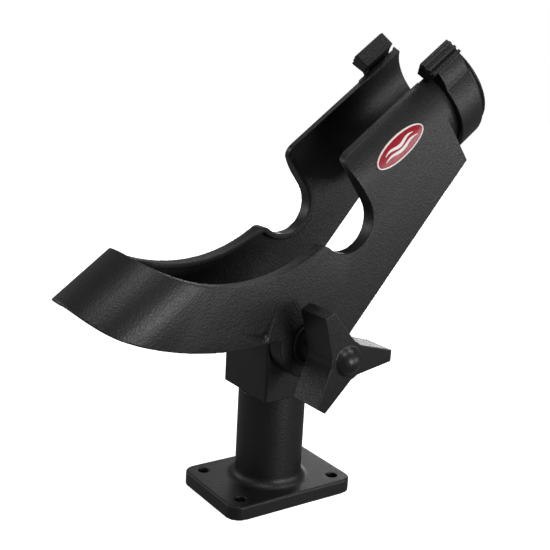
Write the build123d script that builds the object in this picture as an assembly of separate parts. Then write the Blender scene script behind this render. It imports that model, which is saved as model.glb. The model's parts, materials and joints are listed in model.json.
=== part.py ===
from build123d import *
import math
import os

# Open-cradle fishing rod holder on a deck flange.  Millimetres, +Z up.
# The origin is the centre of the deck plate's underside.  The rod lies in the XZ plane and its
# tip points to +X and up; the nose that holds the butt down is at -X; the clamp knob is at -Y.

# --- driving dimensions -------------------------------------------------------------------------

# How far a cutting solid runs past the face it opens
CUT_PAST = 1.0

# Deck flange and post
PLATE_X = 73.0
PLATE_Y = 52.0
PLATE_THICK = 7.2
PLATE_CORNER_R = 7.0
PLATE_EDGE_R = 1.0
SCREW_SPACING_X = 55.8
SCREW_SPACING_Y = 36.0
SCREW_HOLE_R = 2.9
POST_R = 17.0
POST_TOP = 54.5
POST_FOOT_R = 4.5
POST_BORE_R = 11.0
WEB_BOTTOM = 34.0
WEB_TOP = 40.0
SOCKET_R = 13.05

# Swivel head
HEAD_HALF_X = 17.0
HEAD_HALF_Y = 19.0
HEAD_GAP = 0.3
HEAD_EDGE_R = 1.2
SPIGOT_R = 13.0
SPIGOT_BOTTOM = 40.3
SPIGOT_CHAMFER = 1.0

# Retaining screw that comes up through the post's web
RETAINER_R = 3.0
RETAINER_HOLE_R = 3.1
RETAINER_HEAD_R = 5.2
RETAINER_HEAD_HIGH = 4.0
RETAINER_WASHER_R = 8.5
RETAINER_WASHER_THICK = 1.5
RETAINER_TOP = 60.0
RETAINER_SOCKET_R = 2.6
INSERT_R = 5.0
INSERT_BOTTOM = 44.0
INSERT_TOP = 56.0

# Tilt pivot
PIVOT_Z = 85.6
BOLT_R = 4.0
BOLT_BORE_R = 4.08
BOLT_HEAD_FLATS = 13.0
BOLT_HEAD_HIGH = 5.0
BOLT_POCKET_PLAY = 0.15
EAR_R = 17.0
EAR_INNER = 20.1
TOOTH_COUNT = 30
TOOTH_HIGH = 0.4
TOOTH_WIDE = 1.0
TOOTH_FROM_R = 6.5
TOOTH_TO_R = 15.5

# Cradle: a shell whose walls run parallel to the rod
ROD_TILT = 37.6
WALL = 3.5
SHELL_R = 29.6
NOSE_CENTRE_B = 127.4
TUBE_CENTRE_B = 107.5
NOTCH_A = 101.2
NOTCH_B = 102.5
NOTCH_R = 15.3
CHEEK_TOP_B = 126.0
CHEEK_END_A = 177.3
CHEEK_END_B = 79.0
CHEEK_CORNER_R = 5.0
BUMP_R = 5.0
EAR_CORNER_R = 2.0
RIM_CENTRE = (-41.7, 195.7)
RIM_R = 78.4
RIM_FLANGE_THICK = 3.0
RIM_FLANGE_R = 21.8
FRONT_FLANGE_TOP_B = 120.0
RIM_GROOVE_DEEP = 0.7
RIM_GROOVE_OUTER_R = 28.7
RIM_GROOVE_INNER_R = 27.6
NOSE_TOP_X = -95.0
NOSE_LOW = (-118.0, 116.0)
NOSE_BEND = (-107.5, 105.3)
UNDER_NOSE = (-97.0, 99.0)
UNDER_LOW = (-56.0, 88.4)
UNDER_START_RISE = 4.0
NOSE_START_A = -40.0
SEAM_A = 92.0
SADDLE_START_A = 148.0
NECK_END_A = 203.5
NECK_HALF_GAP = 48.0

# Locking collar
COLLAR_START_A = 182.5
COLLAR_END_A = 198.5
COLLAR_BORE_R = 30.0
COLLAR_R = 32.6
COLLAR_HALF_GAP = 37.0
COLLAR_TURN = 4.0
TAB_START_A = 178.6
TAB_END_A = 199.0
TAB_R = 38.2
TAB_MIDDLE_R = 36.6
TAB_MIDDLE_DEG = 14.0
TAB_DEG = 30.0
TAB_BLEND = 0.2
RIB_COUNT = 3
RIB_HIGH = 0.45
RIB_FIRST_DEG = 2.5
RIB_PITCH_DEG = 4.5
RIB_WIDE_DEG = 2.6
SNAP_LIP = 0.9
SNAP_LIP_LONG = 1.4

# Clamp knob
WASHER_R = 11.0
WASHER_THICK = 1.6
KNOB_GAP = 0.3
KNOB_NECK_R = 9.0
KNOB_HUB_R = 9.5
DOME_R = 6.8
LOBE_BACK = 39.5
LOBE_FRONT = 58.0
DOME_FRONT = 63.0
LOBE_R = 25.6
LOBE_TIP_HALF = 2.8
LOBE_ROOT_HALF = 8.5
LOBE_FIRST_ANGLE = 358.0
LOBE_COUNT = 3
KNOB_NUT_FLATS = 13.0
KNOB_NUT_BACK = 38.0
KNOB_NUT_FRONT = 46.0
KNOB_BORE_END = 56.0
BOLT_END = 52.0

# Badges
BADGE_LONG = 33.0
BADGE_HIGH = 11.2
BADGE_THICK = 0.8
BADGE_A = 145.3
BADGE_B = 112.8

# --- frame helpers ------------------------------------------------------------------------------

COS_TILT = math.cos(math.radians(ROD_TILT))
SIN_TILT = math.sin(math.radians(ROD_TILT))
ROD_DIRECTION = (COS_TILT, 0, SIN_TILT)


def side_point(along, above):
    """The (x, z) place of a point `along` the rod and `above` it, in the XZ plane."""
    return (along * COS_TILT - above * SIN_TILT, along * SIN_TILT + above * COS_TILT)


def rod_plane(along):
    """The plane across the rod: its local x is +Y and its local y points away from the base."""
    x, z = side_point(along, 0)
    return Plane(origin=(x, 0, z), x_dir=(0, 1, 0), z_dir=ROD_DIRECTION)


def side_extrude(face, from_y, to_y):
    """A face drawn in the XZ plane, made solid between two values of y."""
    plane = Plane(origin=(0, to_y, 0), x_dir=(1, 0, 0), z_dir=(0, -1, 0))
    return extrude(plane * face, to_y - from_y)


def cylinder_along_y(radius, from_y, to_y, x=0.0, z=PIVOT_Z):
    return side_extrude(Pos(x, z) * Circle(radius), from_y, to_y)


def upright_cylinder(radius, bottom, top):
    return Pos(0, 0, bottom) * extrude(Circle(radius), top - bottom)


# --- deck flange and post -----------------------------------------------------------------------


def deck_flange_post():
    plate = extrude(RectangleRounded(PLATE_X, PLATE_Y, PLATE_CORNER_R), PLATE_THICK)
    plate = fillet(plate.edges().group_by(Axis.Z)[-1], PLATE_EDGE_R)
    body = plate + upright_cylinder(POST_R, 0, POST_TOP)
    foot = body.edges().filter_by(GeomType.CIRCLE).filter_by_position(
        Axis.Z, PLATE_THICK - 0.01, PLATE_THICK + 0.01)
    foot = [edge for edge in foot if abs(edge.radius - POST_R) < 0.01]
    body = fillet(foot, POST_FOOT_R)
    body -= upright_cylinder(POST_BORE_R, 0, WEB_BOTTOM)
    body -= upright_cylinder(SOCKET_R, WEB_TOP, POST_TOP)
    body -= upright_cylinder(RETAINER_HOLE_R, WEB_BOTTOM, WEB_TOP)
    for place in GridLocations(SCREW_SPACING_X, SCREW_SPACING_Y, 2, 2):
        body -= place * upright_cylinder(SCREW_HOLE_R, 0, PLATE_THICK)
    return body


# --- swivel head --------------------------------------------------------------------------------


def tooth_ring(face_y, outward):
    """Radial locking teeth that stand off a flat face at `face_y`, pointing along +Y or -Y."""
    reach = TOOTH_TO_R - TOOTH_FROM_R
    teeth = []
    for number in range(TOOTH_COUNT):
        angle = number * 360.0 / TOOTH_COUNT
        tooth = Pos((TOOTH_FROM_R + TOOTH_TO_R) / 2, 0) * Rectangle(reach, TOOTH_WIDE)
        tooth = Pos(0, PIVOT_Z) * Rot(0, 0, angle) * tooth
        tip_y = face_y + outward * TOOTH_HIGH
        teeth.append(side_extrude(tooth, min(face_y, tip_y), max(face_y, tip_y)))
    return teeth


def swivel_head():
    bottom = POST_TOP + HEAD_GAP
    middle_z = (bottom + PIVOT_Z) / 2
    side = Pos(0, middle_z) * Rectangle(2 * HEAD_HALF_X, PIVOT_Z - bottom)
    side += Pos(0, PIVOT_Z) * Circle(HEAD_HALF_X)
    block = side_extrude(side, -HEAD_HALF_Y, HEAD_HALF_Y)
    block = fillet(block.edges().filter_by(Axis.Z), HEAD_EDGE_R)
    block += upright_cylinder(SPIGOT_R, SPIGOT_BOTTOM, bottom)
    block = chamfer(block.edges().group_by(Axis.Z)[0], SPIGOT_CHAMFER)
    block -= upright_cylinder(INSERT_R, SPIGOT_BOTTOM, INSERT_TOP)
    block -= upright_cylinder(RETAINER_HOLE_R, INSERT_TOP, RETAINER_TOP + CUT_PAST)
    for outward in (-1, 1):
        for tooth in tooth_ring(outward * HEAD_HALF_Y, outward):
            block += tooth
    block -= cylinder_along_y(BOLT_BORE_R, -HEAD_HALF_Y - CUT_PAST, HEAD_HALF_Y + CUT_PAST)
    return block


def head_insert_nut():
    insert = upright_cylinder(INSERT_R, INSERT_BOTTOM, INSERT_TOP)
    return insert - upright_cylinder(RETAINER_R, INSERT_BOTTOM, INSERT_TOP)


def head_retaining_washer():
    top = WEB_BOTTOM - HEAD_GAP
    washer = upright_cylinder(RETAINER_WASHER_R, top - RETAINER_WASHER_THICK, top)
    return washer - upright_cylinder(RETAINER_HOLE_R, top - RETAINER_WASHER_THICK, top)


def head_retaining_screw():
    seat = WEB_BOTTOM - HEAD_GAP - RETAINER_WASHER_THICK
    screw = upright_cylinder(RETAINER_R, seat, RETAINER_TOP)
    screw += upright_cylinder(RETAINER_HEAD_R, seat - RETAINER_HEAD_HIGH, seat)
    socket = Pos(0, 0, seat - RETAINER_HEAD_HIGH) * RegularPolygon(RETAINER_SOCKET_R, 6)
    return screw - extrude(socket, RETAINER_HEAD_HIGH / 2)


# --- cradle -------------------------------------------------------------------------------------


def back_edge_touch():
    """Where the straight back edge of the cheeks, drawn from their far corner, meets the ear."""
    corner_x, corner_z = side_point(CHEEK_END_A, CHEEK_END_B)
    reach = math.hypot(corner_x, corner_z - PIVOT_Z)
    turn = math.atan2(corner_z - PIVOT_Z, corner_x) - math.acos(EAR_R / reach)
    return (EAR_R * math.cos(turn), PIVOT_Z + EAR_R * math.sin(turn))


def rim_point(x):
    """The point of the upper rim's arc at `x`."""
    centre_x, centre_z = RIM_CENTRE
    return (x, centre_z - math.sqrt(RIM_R ** 2 - (x - centre_x) ** 2))


def side_outline():
    """The cradle seen from the side: nose band, reel notch, cheeks and ears, drawn in (x, z)."""
    nose_top = rim_point(NOSE_TOP_X)
    bump = side_point(NOTCH_A - NOTCH_R, NOTCH_B)
    notch_low = side_point(NOTCH_A, NOTCH_B - NOTCH_R)
    notch_far = side_point(NOTCH_A + NOTCH_R, NOTCH_B)
    cheek_front = side_point(NOTCH_A + NOTCH_R, CHEEK_TOP_B)
    cheek_top = side_point(CHEEK_END_A, CHEEK_TOP_B)
    cheek_corner = side_point(CHEEK_END_A, CHEEK_END_B)
    ear_back = back_edge_touch()
    ear_low = (0, PIVOT_Z - EAR_R)
    ear_front = (-EAR_R, PIVOT_Z)
    under_start = (-EAR_R, PIVOT_Z + UNDER_START_RISE)
    edges = [
        ThreePointArc(nose_top, rim_point(RIM_CENTRE[0]), bump),
        ThreePointArc(bump, notch_low, notch_far),
        Polyline(notch_far, cheek_front, cheek_top, cheek_corner, ear_back),
        ThreePointArc(ear_back, ear_low, ear_front),
        Line(ear_front, under_start),
        ThreePointArc(under_start, UNDER_LOW, UNDER_NOSE),
        ThreePointArc(UNDER_NOSE, NOSE_BEND, NOSE_LOW),
        Line(NOSE_LOW, nose_top),
    ]
    face = make_face(edges)
    rounds = [(cheek_front, CHEEK_CORNER_R), (bump, BUMP_R), (under_start, EAR_CORNER_R)]
    for (x, z), radius in rounds:
        corner = face.vertices().sort_by_distance(Vector(x, z, 0))[0]
        face = fillet(corner, radius)
    return face


def channel_section(radius, centre_b):
    """A round-topped section across the rod: a circle with straight sides down from its middle."""
    sides = Pos(0, centre_b / 2) * Rectangle(2 * radius, centre_b)
    return Pos(0, centre_b) * Circle(radius) + sides


def channel_wall(outer_r, inner_r, centre_b, from_a, to_a):
    """The wall between two such sections, drawn out along the rod."""
    ring = channel_section(outer_r, centre_b) - channel_section(inner_r, centre_b)
    return extrude(rod_plane(from_a) * ring, to_a - from_a)


def open_ring(outer_r, inner_r, half_gap, from_a, to_a):
    """A round tube along the rod with a gap at its top, `half_gap` degrees to each side."""
    reach = 2 * outer_r
    side = reach * math.tan(math.radians(half_gap))
    gap = make_face(Polyline((0, 0), (side, reach), (-side, reach), close=True))
    ring = Pos(0, TUBE_CENTRE_B) * (Circle(outer_r) - Circle(inner_r) - gap)
    return extrude(rod_plane(from_a) * ring, to_a - from_a)


def saddle():
    """The half-round floor that joins the cheeks under the rod, just before the neck."""
    ring = Circle(SHELL_R) - Circle(SHELL_R - WALL)
    lower = ring & (Pos(0, -SHELL_R / 2) * Rectangle(2 * SHELL_R, SHELL_R))
    length = CHEEK_END_A - SADDLE_START_A
    return extrude(rod_plane(SADDLE_START_A) * (Pos(0, TUBE_CENTRE_B) * lower), length)


def rim_flange():
    """The inward flange that stiffens the upper rim, the reel notch and the cheeks' front."""
    rim = Pos(*RIM_CENTRE) * (Circle(RIM_R + RIM_FLANGE_THICK) - Circle(RIM_R))
    notch = Circle(NOTCH_R + RIM_FLANGE_THICK) - Circle(NOTCH_R)
    notch = Pos(*side_point(NOTCH_A, NOTCH_B)) * notch
    front_high = FRONT_FLANGE_TOP_B - NOTCH_B
    middle = side_point(NOTCH_A + NOTCH_R + RIM_FLANGE_THICK / 2, NOTCH_B + front_high / 2)
    front = Pos(*middle) * Rot(0, 0, ROD_TILT) * Rectangle(RIM_FLANGE_THICK, front_high)
    outline = side_outline()
    band_strip = side_extrude((rim + notch) & outline, -SHELL_R, SHELL_R)
    cheek_strip = side_extrude((notch + front) & outline, -SHELL_R, SHELL_R)
    overlap_r = SHELL_R - WALL / 2
    band = channel_wall(overlap_r, RIM_FLANGE_R, NOSE_CENTRE_B, NOSE_START_A, SEAM_A)
    open_middle = Pos(0, TUBE_CENTRE_B) * Rectangle(2 * RIM_FLANGE_R, 4 * SHELL_R)
    cheeks = channel_section(overlap_r, TUBE_CENTRE_B) - open_middle
    cheeks = extrude(rod_plane(SEAM_A) * cheeks, CHEEK_END_A - SEAM_A)
    return (band & band_strip) + (cheeks & cheek_strip)


def rim_groove():
    """The thin line let into the top of the rim flange, just inside its outer edge."""
    ring = Pos(*RIM_CENTRE) * (Circle(RIM_R + RIM_GROOVE_DEEP) - Circle(RIM_R - CUT_PAST))
    strip = side_extrude(ring, -SHELL_R, SHELL_R)
    end_a = NOTCH_A - NOTCH_R - BUMP_R
    return strip & channel_wall(RIM_GROOVE_OUTER_R, RIM_GROOVE_INNER_R, NOSE_CENTRE_B,
                                NOSE_START_A, end_a)


def bolt_pocket():
    """The hexagonal pocket in the far ear that stops the bolt from turning."""
    hexagon = Pos(0, PIVOT_Z) * RegularPolygon(
        BOLT_HEAD_FLATS / 2 + BOLT_POCKET_PLAY, 6, major_radius=False)
    return side_extrude(hexagon, SHELL_R - BOLT_HEAD_HIGH, SHELL_R + CUT_PAST)


def cradle():
    inside = SHELL_R - WALL
    silhouette = side_extrude(side_outline(), -SHELL_R, SHELL_R)
    band = channel_wall(SHELL_R, inside, NOSE_CENTRE_B, NOSE_START_A, SEAM_A) & silhouette
    cheeks = channel_wall(SHELL_R, inside, TUBE_CENTRE_B, SEAM_A, CHEEK_END_A) & silhouette
    body = band + cheeks + rim_flange() + saddle()
    for side in (-1, 1):
        near, far = sorted((side * EAR_INNER, side * SHELL_R))
        body += cylinder_along_y(EAR_R, near, far)
        for tooth in tooth_ring(side * EAR_INNER, -side):
            body += tooth
    body += open_ring(SHELL_R, inside, NECK_HALF_GAP, CHEEK_END_A - WALL, NECK_END_A)
    body += open_ring(SHELL_R + SNAP_LIP, SHELL_R - WALL / 2, NECK_HALF_GAP,
                      NECK_END_A - SNAP_LIP_LONG, NECK_END_A)
    body -= cylinder_along_y(BOLT_BORE_R, -SHELL_R - CUT_PAST, SHELL_R + CUT_PAST)
    return body - bolt_pocket() - rim_groove()


def pivot_bolt():
    seat = SHELL_R - BOLT_HEAD_HIGH
    hexagon = Pos(0, PIVOT_Z) * RegularPolygon(BOLT_HEAD_FLATS / 2, 6, major_radius=False)
    head = side_extrude(hexagon, seat, SHELL_R)
    return head + cylinder_along_y(BOLT_R, -BOLT_END, seat)


def badge(side):
    """A thin oval plate that follows the outside of one cheek."""
    wall = channel_wall(SHELL_R + BADGE_THICK, SHELL_R, TUBE_CENTRE_B, SEAM_A, CHEEK_END_A)
    oval = Pos(*side_point(BADGE_A, BADGE_B)) * Rot(0, 0, ROD_TILT) * Ellipse(
        BADGE_LONG / 2, BADGE_HIGH / 2)
    near, far = sorted((side * (SHELL_R - WALL), side * (SHELL_R + WALL)))
    return wall & side_extrude(oval, near, far)


# --- locking collar -----------------------------------------------------------------------------


def round_point(degrees, radius):
    """A point across the rod, at an angle from the top of the collar, in (y, above) values."""
    turn = math.radians(degrees)
    return (radius * math.sin(turn), TUBE_CENTRE_B + radius * math.cos(turn))


def finger_tab(side):
    """The thick end of one arm, which flares out from the ring, with grip ribs along the rod."""
    def corner(degrees, radius):
        return round_point(side * (COLLAR_HALF_GAP + degrees), radius)

    outer = ThreePointArc(corner(0, TAB_R), corner(TAB_MIDDLE_DEG, TAB_MIDDLE_R),
                          corner(TAB_DEG, COLLAR_R - TAB_BLEND))
    inner = ThreePointArc(corner(0, COLLAR_BORE_R), corner(TAB_MIDDLE_DEG, COLLAR_BORE_R),
                          corner(TAB_DEG, COLLAR_BORE_R))
    ends = [Line(inner @ 0, outer @ 0), Line(inner @ 1, outer @ 1)]
    face = make_face([outer, inner] + ends)
    for number in range(RIB_COUNT):
        start = RIB_FIRST_DEG + number * RIB_PITCH_DEG
        end = start + RIB_WIDE_DEG
        face += make_face(Polyline(
            corner(start, COLLAR_R), corner(start, TAB_R + RIB_HIGH),
            corner(end, TAB_R + RIB_HIGH), corner(end, COLLAR_R), close=True))
    overhang = make_face(Polyline(
        round_point(0, 0), corner(0, 2 * TAB_R), corner(TAB_MIDDLE_DEG, 2 * TAB_R), close=True))
    tab = extrude(rod_plane(COLLAR_START_A) * face, TAB_END_A - COLLAR_START_A)
    return tab + extrude(rod_plane(TAB_START_A) * (face & overhang), COLLAR_END_A - TAB_START_A)


def locking_collar():
    body = open_ring(COLLAR_R, COLLAR_BORE_R, COLLAR_HALF_GAP, COLLAR_START_A, COLLAR_END_A)
    for side in (-1, 1):
        body += finger_tab(side)
    x, z = side_point(0, TUBE_CENTRE_B)
    return body.rotate(Axis((x, 0, z), ROD_DIRECTION), COLLAR_TURN)


# --- clamp knob ---------------------------------------------------------------------------------


def knob_washer():
    back = SHELL_R + KNOB_GAP
    front = back + WASHER_THICK
    return (cylinder_along_y(WASHER_R, -front, -back)
            - cylinder_along_y(BOLT_BORE_R, -front, -back))


def knob_lobe(angle):
    root = (0, LOBE_ROOT_HALF)
    tip = (LOBE_R, LOBE_TIP_HALF)
    outline = make_face(Polyline(root, tip, (tip[0], -tip[1]), (root[0], -root[1]), close=True))
    outline = Pos(0, PIVOT_Z) * Rot(0, 0, angle) * outline
    return side_extrude(outline, -LOBE_FRONT, -LOBE_BACK)


def knob_nut_hexagon():
    return Pos(0, PIVOT_Z) * RegularPolygon(KNOB_NUT_FLATS / 2, 6, major_radius=False)


def tri_lobe_knob():
    back = SHELL_R + KNOB_GAP + WASHER_THICK + KNOB_GAP
    body = cylinder_along_y(KNOB_NECK_R, -LOBE_BACK, -back)
    body += cylinder_along_y(KNOB_HUB_R, -LOBE_FRONT, -LOBE_BACK)
    for number in range(LOBE_COUNT):
        body += knob_lobe(LOBE_FIRST_ANGLE + number * 360.0 / LOBE_COUNT)
    dome_high = DOME_FRONT - LOBE_FRONT
    sphere_r = (DOME_R ** 2 + dome_high ** 2) / (2 * dome_high)
    body += Pos(0, -(DOME_FRONT - sphere_r), PIVOT_Z) * Sphere(sphere_r)
    body -= cylinder_along_y(BOLT_BORE_R, -KNOB_BORE_END, -back)
    return body - side_extrude(knob_nut_hexagon(), -KNOB_NUT_FRONT, -KNOB_NUT_BACK)


def knob_insert_nut():
    nut = side_extrude(knob_nut_hexagon(), -KNOB_NUT_FRONT, -KNOB_NUT_BACK)
    return nut - cylinder_along_y(BOLT_BORE_R, -KNOB_NUT_FRONT, -KNOB_NUT_BACK)


# --- output -------------------------------------------------------------------------------------

PARTS = {
    "deck_flange_post": deck_flange_post(),
    "swivel_head": swivel_head(),
    "head_insert_nut": head_insert_nut(),
    "head_retaining_washer": head_retaining_washer(),
    "head_retaining_screw": head_retaining_screw(),
    "cradle": cradle(),
    "pivot_bolt": pivot_bolt(),
    "badge_near": badge(-1),
    "badge_far": badge(1),
    "locking_collar": locking_collar(),
    "knob_washer": knob_washer(),
    "tri_lobe_knob": tri_lobe_knob(),
    "knob_insert_nut": knob_insert_nut(),
}

os.makedirs("parts", exist_ok=True)
for name, shape in PARTS.items():
    export_step(shape, os.path.join("parts", name + ".step"))
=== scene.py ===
"""Looks for a deck-mounted fishing rod holder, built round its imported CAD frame.  Metres, +Z up."""
import json
import math

import bmesh
import bpy
from mathutils import Matrix, Vector


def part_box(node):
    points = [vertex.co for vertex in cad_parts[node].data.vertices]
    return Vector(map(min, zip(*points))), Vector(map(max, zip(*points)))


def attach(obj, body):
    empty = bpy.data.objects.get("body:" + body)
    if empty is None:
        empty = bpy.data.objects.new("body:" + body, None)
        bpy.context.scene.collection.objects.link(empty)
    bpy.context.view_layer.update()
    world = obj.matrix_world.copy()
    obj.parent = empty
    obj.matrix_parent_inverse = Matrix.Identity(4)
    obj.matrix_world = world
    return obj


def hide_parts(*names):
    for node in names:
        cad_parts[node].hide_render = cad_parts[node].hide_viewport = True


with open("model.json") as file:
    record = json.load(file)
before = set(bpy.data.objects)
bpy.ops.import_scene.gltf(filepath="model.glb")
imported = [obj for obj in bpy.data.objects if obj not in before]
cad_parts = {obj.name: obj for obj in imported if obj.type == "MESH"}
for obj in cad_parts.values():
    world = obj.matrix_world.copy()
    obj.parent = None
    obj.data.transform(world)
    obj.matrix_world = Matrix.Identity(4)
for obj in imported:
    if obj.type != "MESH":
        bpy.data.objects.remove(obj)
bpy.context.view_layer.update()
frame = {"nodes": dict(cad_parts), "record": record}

MM = 0.001

# --- view ---------------------------------------------------------------------------------------

VIEW_AZIMUTH = -35.0
VIEW_ELEVATION = 13.27
VIEW_ROLL = 3.1
VIEW_DISTANCE = 0.4524
VIEW_AIM = Vector((-0.002, 0.0, 0.1126))
VIEW_LENS = 60.4
SENSOR_WIDTH = 36.0
CLIP_START = 0.01

# --- light --------------------------------------------------------------------------------------

ROOM_COLOUR = (0.96, 0.975, 1.0, 1.0)
ROOM_LEVEL = 0.2
FLOOR_GLOW = 0.85
FLOOR_HALF = 3.0
LIGHT_AIM = Vector((0.0, 0.0, 0.12))

# Each softbox: name, azimuth and elevation in degrees, distance, width and height in metres,
# power in watts
SOFTBOXES = (
    ("front_box", 45.0, 4.0, 1.2, 0.55, 0.3, 2.9),
    ("streak_box", 7.0, 3.0, 1.2, 0.3, 0.3, 6.5),
    ("top_box", 62.0, 62.0, 1.1, 0.35, 0.35, 3.4),
    ("crown_box", -50.0, 60.0, 1.2, 0.4, 0.4, 4.0),
    ("rim_box", 146.0, 42.0, 1.3, 0.6, 0.2, 1.6),
    ("back_right_box", 134.0, 5.0, 1.3, 0.5, 0.22, 2.1),
    ("back_left_box", -142.0, 12.0, 1.3, 0.6, 0.35, 2.6),
    ("left_edge_box", -100.0, 20.0, 1.3, 0.25, 0.6, 1.6),
)

# --- object frame -------------------------------------------------------------------------------

ROD_TILT = math.radians(37.6)
ROD_AXIS = Vector((math.cos(ROD_TILT), 0.0, math.sin(ROD_TILT)))
ABOVE_AXIS = Vector((-math.sin(ROD_TILT), 0.0, math.cos(ROD_TILT)))
SIDE_AXIS = Vector((0.0, 1.0, 0.0))

# --- shape of the parts, in millimetres ---------------------------------------------------------

# A name that ends in _A is measured along the rod, and one in _B above it
SHELL_R = 29.6
TUBE_CENTRE_B = 107.5
PIVOT_Z = 85.6

# The moulding's gate mark
GATE_X = -26.1
GATE_Z = 92.8
GATE_R = 2.0
GATE_DEEP = 0.7
GATE_FLANK = 2.5
GATE_SKIN_Y = 28.8

# The badge's oval
BADGE_LONG = 33.0
BADGE_HIGH = 11.2
BADGE_A = 145.3
BADGE_B = 112.8
BADGE_SIDES = 72

# The badge's field: share of the oval, height off the shell
FIELD_PROFILE = ((1.0, -0.3), (1.0, 0.3), (0.985, 0.42), (0.9, 0.45), (0.7, 0.5), (0.45, 0.53),
                 (0.2, 0.54))
# The badge's rim: distance inside the oval, height off the shell
RIM_PROFILE = ((0.0, 0.2), (0.0, 0.6), (0.12, 0.74), (0.35, 0.79), (0.6, 0.74), (0.75, 0.6),
               (0.75, 0.2))
# The stripes: height of the middle line, length
WAVES = ((1.25, 20.0), (-1.15, 23.0))
# A stripe across: share of its half width, height off the shell
WAVE_PROFILE = ((-1.0, 0.3), (-1.0, 0.66), (-0.6, 0.76), (0.6, 0.76), (1.0, 0.66), (1.0, 0.3))
WAVE_THICK = 1.5
WAVE_SWING = 0.6
WAVE_TURNS = 1.5
WAVE_BLUNT = 0.06
WAVE_TIP = 0.12
WAVE_STEPS = 36

BOLT_R = 4.0
BOLT_TIP_CHAMFER = 0.6
BOLT_SIDES = 96
# The bolt's head: its seat, the chamfers under and over its corners, and its dished top
HEAD_FLATS = 12.7
HEAD_HIGH = 5.0
HEAD_SEAT_DROP = 0.2
HEAD_SEAT_IN = 0.4
HEAD_SEAT_EDGE = 0.25
HEAD_SEAT_EDGE_IN = 0.1
HEAD_LOW_START = 0.3
HEAD_LOW_STEPS = 6
HEAD_LOW_STEP = 0.25
HEAD_TOP_START = 0.75
HEAD_TOP_STEPS = 7
HEAD_TOP_RISE = 0.11
HEAD_TOP_IN = 0.2
HEAD_CORNER = 1.0
HEAD_DISH_RIM = 0.6
HEAD_DISH_IN = 1.1
HEAD_DISH_DEEP = 0.35

WELD = 1e-6
SHARP_DEG = 40.0


def rod_to_space(along, y, above):
    """A point given along the rod, across it and above it."""
    return (along * ROD_AXIS + y * SIDE_AXIS + above * ABOVE_AXIS) * MM


def outward(azimuth, elevation):
    """The direction towards a place at this azimuth and elevation in degrees, 0 being -Y."""
    turn = math.radians(azimuth)
    rise = math.radians(elevation)
    return Vector((math.sin(turn) * math.cos(rise), -math.cos(turn) * math.cos(rise),
                   math.sin(rise)))


# --- node helpers -------------------------------------------------------------------------------


class Graph:
    """A short way to add and link shader nodes."""

    def __init__(self, name):
        self.material = bpy.data.materials.new(name)
        self.material.use_nodes = True
        self.tree = self.material.node_tree
        self.shader = self.tree.nodes["Principled BSDF"]
        coords = self.tree.nodes.new("ShaderNodeTexCoord")
        self.place = coords.outputs["Object"]

    def add(self, kind, settings=None, **inputs):
        node = self.tree.nodes.new(kind)
        for key, value in (settings or {}).items():
            setattr(node, key, value)
        for key, value in inputs.items():
            self.set(node.inputs[key.replace("_", " ")], value)
        return node

    def set(self, socket, value):
        if isinstance(value, bpy.types.NodeSocket):
            self.tree.links.new(value, socket)
        else:
            socket.default_value = value

    def noise(self, scale, detail=3.0, roughness=0.5):
        node = self.add("ShaderNodeTexNoise", Vector=self.place, Scale=scale,
                        Detail=detail, Roughness=roughness)
        return node.outputs["Fac"]

    def spread(self, value, old_range, new_range):
        node = self.tree.nodes.new("ShaderNodeMapRange")
        for number, item in enumerate((value, *old_range, *new_range)):
            self.set(node.inputs[number], item)
        return node.outputs[0]

    def bump(self, height, distance, strength=1.0, normal=None):
        node = self.add("ShaderNodeBump", Height=height, Distance=distance, Strength=strength)
        if normal is not None:
            self.set(node.inputs["Normal"], normal)
        return node.outputs["Normal"]

    def mix_colour(self, factor, first, second):
        node = self.tree.nodes.new("ShaderNodeMix")
        node.data_type = "RGBA"
        self.set(node.inputs[0], factor)
        self.set(node.inputs[6], first)
        self.set(node.inputs[7], second)
        return node.outputs[2]


# --- materials ----------------------------------------------------------------------------------


def moulded_plastic(name, dark, pale, grain_scale, grain_high, rough):
    """Black moulded plastic: a fine pebble grain with slow changes of tone and gloss."""
    g = Graph(name)
    cloud = g.noise(scale=22.0, detail=4.0, roughness=0.55)
    speck = g.noise(scale=1400.0, detail=2.0, roughness=0.6)
    swell = g.noise(scale=55.0, detail=2.0)
    pebble = g.add("ShaderNodeTexVoronoi", {"feature": "SMOOTH_F1"}, Vector=g.place,
                   Scale=grain_scale, Smoothness=0.6)
    tone = g.spread(cloud, (0.35, 0.68), (0.0, 1.0))
    g.set(g.shader.inputs["Base Color"], g.mix_colour(tone, dark, pale))
    g.set(g.shader.inputs["Roughness"], g.spread(speck, (0.3, 0.7), rough))
    fine = g.bump(speck, 0.03 * MM)
    coarse = g.bump(pebble.outputs["Distance"], grain_high, normal=fine)
    wave = g.bump(swell, 0.2 * MM, strength=0.5, normal=coarse)
    g.set(g.shader.inputs["Normal"], wave)
    g.shader.inputs["Specular IOR Level"].default_value = 0.4
    return g.material


def metal(name, colour, rough):
    """Bright metal with a fine brushed gloss."""
    g = Graph(name)
    brush = g.noise(scale=900.0, detail=3.0, roughness=0.7)
    g.set(g.shader.inputs["Base Color"], colour)
    g.shader.inputs["Metallic"].default_value = 1.0
    g.set(g.shader.inputs["Roughness"], g.spread(brush, (0.3, 0.7), rough))
    g.set(g.shader.inputs["Normal"], g.bump(brush, 0.01 * MM))
    return g.material


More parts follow.
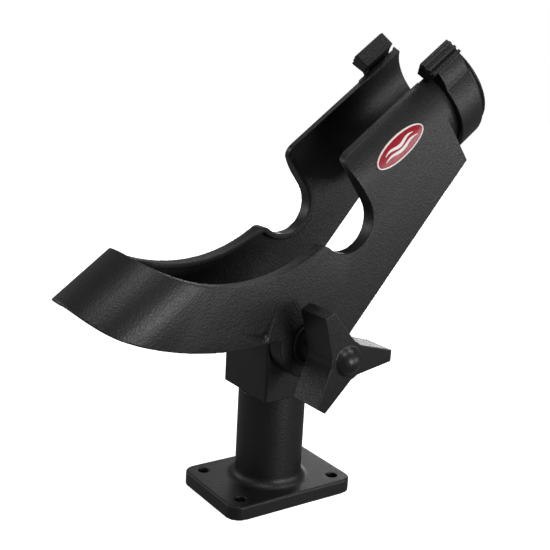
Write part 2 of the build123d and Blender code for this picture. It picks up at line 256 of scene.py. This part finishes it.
def enamel(name, colour, deep):
    """Glossy filled enamel, slightly uneven."""
    g = Graph(name)
    cloud = g.noise(scale=300.0, detail=3.0, roughness=0.6)
    ripple = g.noise(scale=700.0, detail=2.0)
    g.set(g.shader.inputs["Base Color"], g.mix_colour(cloud, colour, deep))
    g.set(g.shader.inputs["Roughness"], g.spread(cloud, (0.3, 0.7), (0.22, 0.34)))
    g.set(g.shader.inputs["Normal"], g.bump(ripple, 0.02 * MM))
    g.shader.inputs["Specular IOR Level"].default_value = 0.3
    g.shader.inputs["Coat Weight"].default_value = 0.2
    g.shader.inputs["Coat Roughness"].default_value = 0.2
    return g.material


def floor_material():
    """A white floor that the camera sees as bright as the room behind it."""
    g = Graph("floor_matt")
    g.set(g.shader.inputs["Base Color"], (0.9, 0.9, 0.9, 1.0))
    g.shader.inputs["Roughness"].default_value = 0.9
    g.shader.inputs["Emission Color"].default_value = (1.0, 1.0, 1.0, 1.0)
    g.shader.inputs["Emission Strength"].default_value = FLOOR_GLOW
    return g.material


BODY_PLASTIC = moulded_plastic(
    "body_plastic", dark=(0.003, 0.003, 0.0032, 1.0), pale=(0.007, 0.007, 0.0075, 1.0),
    grain_scale=1150.0, grain_high=0.08 * MM, rough=(0.38, 0.5))
KNOB_PLASTIC = moulded_plastic(
    "knob_plastic", dark=(0.0035, 0.0035, 0.0037, 1.0), pale=(0.007, 0.007, 0.0075, 1.0),
    grain_scale=1900.0, grain_high=0.05 * MM, rough=(0.3, 0.43))
STAINLESS = metal("stainless_steel", (0.62, 0.61, 0.6, 1.0), (0.28, 0.43))
BRASS = metal("turned_brass", (0.72, 0.53, 0.26, 1.0), (0.3, 0.45))
RED = enamel("red_enamel", (0.36, 0.005, 0.018, 1.0), (0.26, 0.004, 0.012, 1.0))
WHITE = enamel("white_enamel", (0.82, 0.8, 0.78, 1.0), (0.74, 0.72, 0.7, 1.0))

SLOT_MATERIALS = {
    "nylon_black": BODY_PLASTIC,
    "knob_black": KNOB_PLASTIC,
    "stainless": STAINLESS,
    "brass": BRASS,
    "badge": RED,
}


# --- mesh helpers -------------------------------------------------------------------------------

BODY_OF_NODE = {
    node: body
    for body, nodes in frame["record"]["behaviour"]["bodies"].items()
    for node in nodes
}


def link(name, mesh, material):
    piece = bpy.data.objects.new(name, mesh)
    mesh.materials.clear()
    mesh.materials.append(material)
    bpy.context.scene.collection.objects.link(piece)
    return piece


def stand_for(piece, node):
    """The piece rides with a CAD node's body and is shown in its place."""
    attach(piece, BODY_OF_NODE[node])
    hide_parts(node)


def mesh_of(name, bm):
    """The edit mesh as a mesh, its faces turned outward."""
    bmesh.ops.recalc_face_normals(bm, faces=bm.faces)
    mesh = bpy.data.meshes.new(name)
    bm.to_mesh(mesh)
    bm.free()
    return mesh


def after_modifiers(piece, name):
    """The piece's mesh with its modifiers worked out and taken off."""
    graph = bpy.context.evaluated_depsgraph_get()
    mesh = bpy.data.meshes.new_from_object(piece.evaluated_get(graph))
    mesh.name = name
    piece.modifiers.clear()
    return mesh


def remeshed(name, node, slot, voxel, rounds, faces, lean=0.0, carve=None):
    """A CAD node as one even skin with softened edges, thinned to about `faces` faces.

    `lean` turns the remesh's grid about Y so that it lies along the part's own flats, and
    `carve` moves points of the full skin before it is thinned.
    """
    bm = bmesh.new()
    bm.from_mesh(frame["nodes"][node].data)
    bmesh.ops.remove_doubles(bm, verts=bm.verts, dist=WELD)
    mesh = mesh_of(name, bm)
    turn = Matrix.Rotation(lean, 4, "Y")
    mesh.transform(turn)
    piece = link(name, mesh, SLOT_MATERIALS[slot])
    remesh = piece.modifiers.new("skin", "REMESH")
    remesh.mode = "VOXEL"
    remesh.voxel_size = voxel * MM
    soften = piece.modifiers.new("soften", "SMOOTH")
    soften.iterations = rounds
    piece.data = after_modifiers(piece, name)
    piece.data.transform(turn.inverted())
    if carve:
        for vertex in piece.data.vertices:
            vertex.co = carve(vertex.co)
    thin = piece.modifiers.new("thin", "DECIMATE")
    thin.ratio = min(1.0, faces / (2 * len(piece.data.polygons)))
    piece.data = after_modifiers(piece, name)
    piece.data.materials.clear()
    piece.data.materials.append(SLOT_MATERIALS[slot])
    piece.data.shade_smooth()
    stand_for(piece, node)


def skin_between(bm, loops):
    """Faces from each loop of points to the next."""
    for first, second in zip(loops, loops[1:]):
        for number in range(len(first)):
            after = (number + 1) % len(first)
            bm.faces.new((first[number], first[after], second[after], second[number]))


def lofted(name, rings, material):
    """A closed skin through rings of points, flat at both ends."""
    bm = bmesh.new()
    loops = [[bm.verts.new(point) for point in ring] for ring in rings]
    skin_between(bm, loops)
    bm.faces.new(loops[0][::-1])
    bm.faces.new(loops[-1])
    return finished(name, bm, material)


def ring_shaped(name, rings, material):
    """A closed skin through rings of points, the last one joined to the first."""
    bm = bmesh.new()
    loops = [[bm.verts.new(point) for point in ring] for ring in rings]
    skin_between(bm, loops + loops[:1])
    return finished(name, bm, material)


def finished(name, bm, material):
    mesh = mesh_of(name, bm)
    mesh.shade_smooth()
    mesh.set_sharp_from_angle(angle=math.radians(SHARP_DEG))
    return link(name, mesh, material)


def dress_nodes():
    """Each CAD node gets the material of its slot."""
    for part in frame["record"]["subparts"]:
        node = frame["nodes"][part["node"]]
        node.data.materials.clear()
        node.data.materials.append(SLOT_MATERIALS[part["material_slot"]])


# --- mouldings ----------------------------------------------------------------------------------


def gate_mark(point):
    """Sinks the small round gate mark into the near side of the band."""
    if point.y > -GATE_SKIN_Y * MM:
        return point
    reach = math.hypot(point.x - GATE_X * MM, point.z - GATE_Z * MM) / (GATE_R * MM)
    if reach >= 1.0:
        return point
    depth = GATE_DEEP * MM * min(1.0, GATE_FLANK * (1.0 - reach))
    return Vector((point.x, point.y + depth, point.z))


def make_mouldings():
    """Voxel size in millimetres, rounds of smoothing and number of faces for each moulding."""
    remeshed("cradle_shell", "cradle", "nylon_black", 0.4, 4, 90000, ROD_TILT, gate_mark)
    remeshed("flange_and_post", "deck_flange_post", "nylon_black", 0.4, 4, 40000)
    remeshed("head_block", "swivel_head", "nylon_black", 0.35, 4, 30000)
    remeshed("collar_ring", "locking_collar", "nylon_black", 0.27, 3, 40000, ROD_TILT)
    remeshed("clamp_knob_body", "tri_lobe_knob", "knob_black", 0.3, 4, 30000)
    remeshed("clamp_washer_ring", "knob_washer", "nylon_black", 0.25, 2, 6000)


# --- pivot bolt ---------------------------------------------------------------------------------


def hexagon_reach(turn):
    """How far the head's hexagon reaches at an angle."""
    return HEAD_FLATS / 2 / math.cos((turn % (math.tau / 6)) - math.tau / 12)


def bolt_ring(y, limit, hexagonal=False):
    """A ring about the bolt's axis: a circle, or the head's hexagon cut off by that circle."""
    ring = []
    for number in range(BOLT_SIDES):
        turn = number * math.tau / BOLT_SIDES
        reach = min(hexagon_reach(turn), limit) if hexagonal else limit
        ring.append(Vector((reach * math.cos(turn), y, PIVOT_Z + reach * math.sin(turn))) * MM)
    return ring


def make_pivot_bolt():
    """The shank, the seat under the head, a chamfered hexagon and its dished top."""
    low, high = (corner[1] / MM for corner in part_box("pivot_bolt"))
    seat = high - HEAD_HIGH
    flat = HEAD_FLATS / 2
    rings = [
        bolt_ring(low, BOLT_R - BOLT_TIP_CHAMFER),
        bolt_ring(low + BOLT_TIP_CHAMFER, BOLT_R),
        bolt_ring(seat - HEAD_SEAT_DROP, BOLT_R),
        bolt_ring(seat, flat - HEAD_SEAT_IN),
        bolt_ring(seat + HEAD_SEAT_EDGE, flat - HEAD_SEAT_EDGE_IN),
    ]
    for step in range(HEAD_LOW_STEPS):
        rise = step * HEAD_LOW_STEP
        rings.append(bolt_ring(seat + HEAD_LOW_START + rise, flat + rise, hexagonal=True))
    for step in range(HEAD_TOP_STEPS):
        y = high - HEAD_TOP_START + step * HEAD_TOP_RISE
        rings.append(bolt_ring(y, flat + HEAD_CORNER - step * HEAD_TOP_IN, hexagonal=True))
    rings.append(bolt_ring(high, flat - HEAD_DISH_RIM))
    rings.append(bolt_ring(high - HEAD_DISH_DEEP, flat - HEAD_DISH_IN))
    piece = lofted("pivot_bolt_steel", rings, STAINLESS)
    stand_for(piece, "pivot_bolt")


# --- badges -------------------------------------------------------------------------------------


def badge_point(side, across, up, stand):
    """A point of the badge in its own plane, `stand` off the shell that it follows."""
    above = BADGE_B + up
    reach = SHELL_R + stand
    over = max(above - TUBE_CENTRE_B, 0.0)
    y = side * math.sqrt(reach ** 2 - over ** 2)
    return rod_to_space(BADGE_A + across, y, above)


def oval_ring(side, half_long, half_high, stand):
    ring = []
    for number in range(BADGE_SIDES):
        turn = number * math.tau / BADGE_SIDES
        across = half_long * math.cos(turn)
        up = half_high * math.sin(turn)
        ring.append(badge_point(side, across, up, stand))
    return ring


def ride_badge(piece, label):
    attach(piece, BODY_OF_NODE["badge_" + label])


def make_badge_plate(side, label):
    """The red field, slightly domed."""
    rings = [oval_ring(side, share * BADGE_LONG / 2, share * BADGE_HIGH / 2, stand)
             for share, stand in FIELD_PROFILE]
    piece = lofted("badge_plate_" + label, rings, RED)
    stand_for(piece, "badge_" + label)


def make_badge_rim(side, label):
    """The raised white rim."""
    rings = [oval_ring(side, BADGE_LONG / 2 - inset, BADGE_HIGH / 2 - inset, stand)
             for inset, stand in RIM_PROFILE]
    piece = ring_shaped("badge_rim_" + label, rings, WHITE)
    ride_badge(piece, label)


def make_badge_wave(side, label, number, middle, long):
    """One plain wavy stripe, raised from the badge's field."""
    rings = []
    for step in range(WAVE_STEPS + 1):
        along = step / WAVE_STEPS
        across = (along - 0.5) * long
        up = middle + WAVE_SWING * math.sin(along * math.tau * WAVE_TURNS)
        swell = math.sin(math.pi * (WAVE_BLUNT + (1 - 2 * WAVE_BLUNT) * along))
        half = max(WAVE_TIP, WAVE_THICK / 2 * swell)
        rings.append([badge_point(side, across, up + share * half, stand)
                      for share, stand in WAVE_PROFILE])
    piece = lofted(f"badge_wave_{label}_{number}", rings, WHITE)
    ride_badge(piece, label)


def make_badges():
    for side, label in ((-1, "near"), (1, "far")):
        make_badge_plate(side, label)
        make_badge_rim(side, label)
        for number, (middle, long) in enumerate(WAVES, 1):
            make_badge_wave(side, label, number, middle, long)


# --- set ----------------------------------------------------------------------------------------


def make_floor():
    """The floor, which the camera sees but the part doesn't mirror."""
    mesh = bpy.data.meshes.new("floor")
    far = FLOOR_HALF
    corners = [(-far, -far, 0), (far, -far, 0), (far, far, 0), (-far, far, 0)]
    mesh.from_pydata(corners, [], [(0, 1, 2, 3)])
    floor = bpy.data.objects.new("floor", mesh)
    floor.data.materials.append(floor_material())
    bpy.context.scene.collection.objects.link(floor)
    floor.visible_glossy = False
    floor.visible_diffuse = False


def softbox(name, azimuth, elevation, distance, width, height, power):
    """A rectangular light that faces LIGHT_AIM."""
    data = bpy.data.lights.new(name, "AREA")
    data.shape = "RECTANGLE"
    data.size = width
    data.size_y = height
    data.energy = power
    light = bpy.data.objects.new(name, data)
    place = distance * outward(azimuth, elevation)
    light.location = LIGHT_AIM + place
    light.rotation_euler = (-place).to_track_quat("-Z", "Y").to_euler()
    bpy.context.scene.collection.objects.link(light)


def make_world():
    """A white sweep to the camera and a dim, even room for everything else."""
    world = bpy.data.worlds.new("studio")
    world.use_nodes = True
    tree = world.node_tree
    room = tree.nodes["Background"]
    room.inputs["Color"].default_value = ROOM_COLOUR
    room.inputs["Strength"].default_value = ROOM_LEVEL
    sweep = tree.nodes.new("ShaderNodeBackground")
    sweep.inputs["Color"].default_value = (1.0, 1.0, 1.0, 1.0)
    path = tree.nodes.new("ShaderNodeLightPath")
    mix = tree.nodes.new("ShaderNodeMixShader")
    tree.links.new(path.outputs["Is Camera Ray"], mix.inputs[0])
    tree.links.new(room.outputs[0], mix.inputs[1])
    tree.links.new(sweep.outputs[0], mix.inputs[2])
    tree.links.new(mix.outputs[0], tree.nodes["World Output"].inputs["Surface"])
    bpy.context.scene.world = world


def make_lights():
    make_world()
    for box in SOFTBOXES:
        softbox(*box)
    bpy.context.scene.view_settings.view_transform = "Standard"


def make_camera():
    """The camera, turned about its own line of sight by VIEW_ROLL."""
    roll = math.radians(VIEW_ROLL)
    back = outward(VIEW_AZIMUTH, VIEW_ELEVATION)
    level = (-back).cross(Vector((0, 0, 1))).normalized()
    up = back.cross(level)
    right = math.cos(roll) * level + math.sin(roll) * up
    top = -math.sin(roll) * level + math.cos(roll) * up
    data = bpy.data.cameras.new("camera")
    data.sensor_width = SENSOR_WIDTH
    data.lens = VIEW_LENS
    data.clip_start = CLIP_START
    camera = bpy.data.objects.new("camera", data)
    turn = Matrix((right, top, back)).transposed().to_4x4()
    camera.matrix_world = Matrix.Translation(VIEW_AIM + VIEW_DISTANCE * back) @ turn
    bpy.context.scene.collection.objects.link(camera)
    bpy.context.scene.camera = camera


dress_nodes()
make_mouldings()
make_pivot_bolt()
make_badges()
make_floor()
make_lights()
make_camera()
